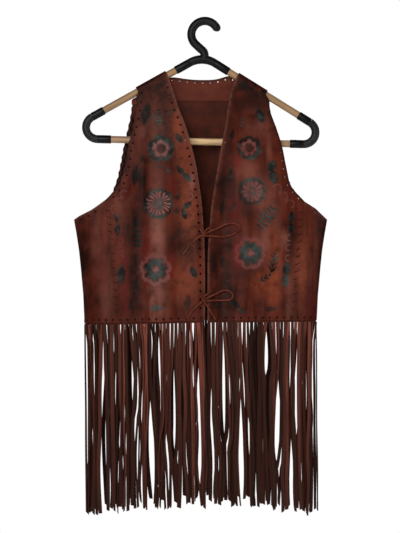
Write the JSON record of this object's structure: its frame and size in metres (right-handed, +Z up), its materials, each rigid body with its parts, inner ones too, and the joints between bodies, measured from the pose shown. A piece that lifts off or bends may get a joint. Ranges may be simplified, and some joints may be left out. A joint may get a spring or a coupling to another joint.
{
  "type": "leather vest on a clothes hanger",
  "caption": "Sleeveless laced leather vest with painted fronts, thong ties and a long fringed hem, hanging open on a hanger of wooden dowels and black plastic.",
  "frame": {"origin": "bearing point inside the top of the hanger's hook, where a rail or peg carries it", "axes": "+Z up, the fronts face -Y, +X to the right as seen from the front"},
  "size_m": [0.4468, 0.1037, 0.8805],
  "materials": {
    "leather_front": "oiled red-brown hide with hand-painted flowers",
    "leather_back": "oiled dark red-brown hide",
    "leather_fringe": "cut strands of dark red-brown hide",
    "leather_thong": "warm brown lacing thong",
    "hanger_plastic": "satin black moulded plastic",
    "hanger_wood": "plain pale dowel"
  },
  "bodies": {
    "root": {"front_left": "leather_front", "front_right": "leather_front", "back_panel": "leather_back", "back_yoke": "leather_back", "fringe_front_left": "leather_fringe", "fringe_front_right": "leather_fringe", "fringe_side_left": "leather_fringe", "fringe_side_right": "leather_fringe", "fringe_back": "leather_fringe", "tie_upper_knot": "leather_thong", "tie_upper_loop": "leather_thong", "tie_upper_end": "leather_thong", "tie_lower_knot": "leather_thong", "tie_lower_loop": "leather_thong", "tie_lower_end_left": "leather_thong", "tie_lower_end_right": "leather_thong", "hanger_hook": "hanger_plastic", "hanger_elbow_left": "hanger_plastic", "hanger_elbow_right": "hanger_plastic", "dowel_left": "hanger_wood", "dowel_right": "hanger_wood", "dowel_bar": "hanger_wood"}
  },
  "joints": []
}
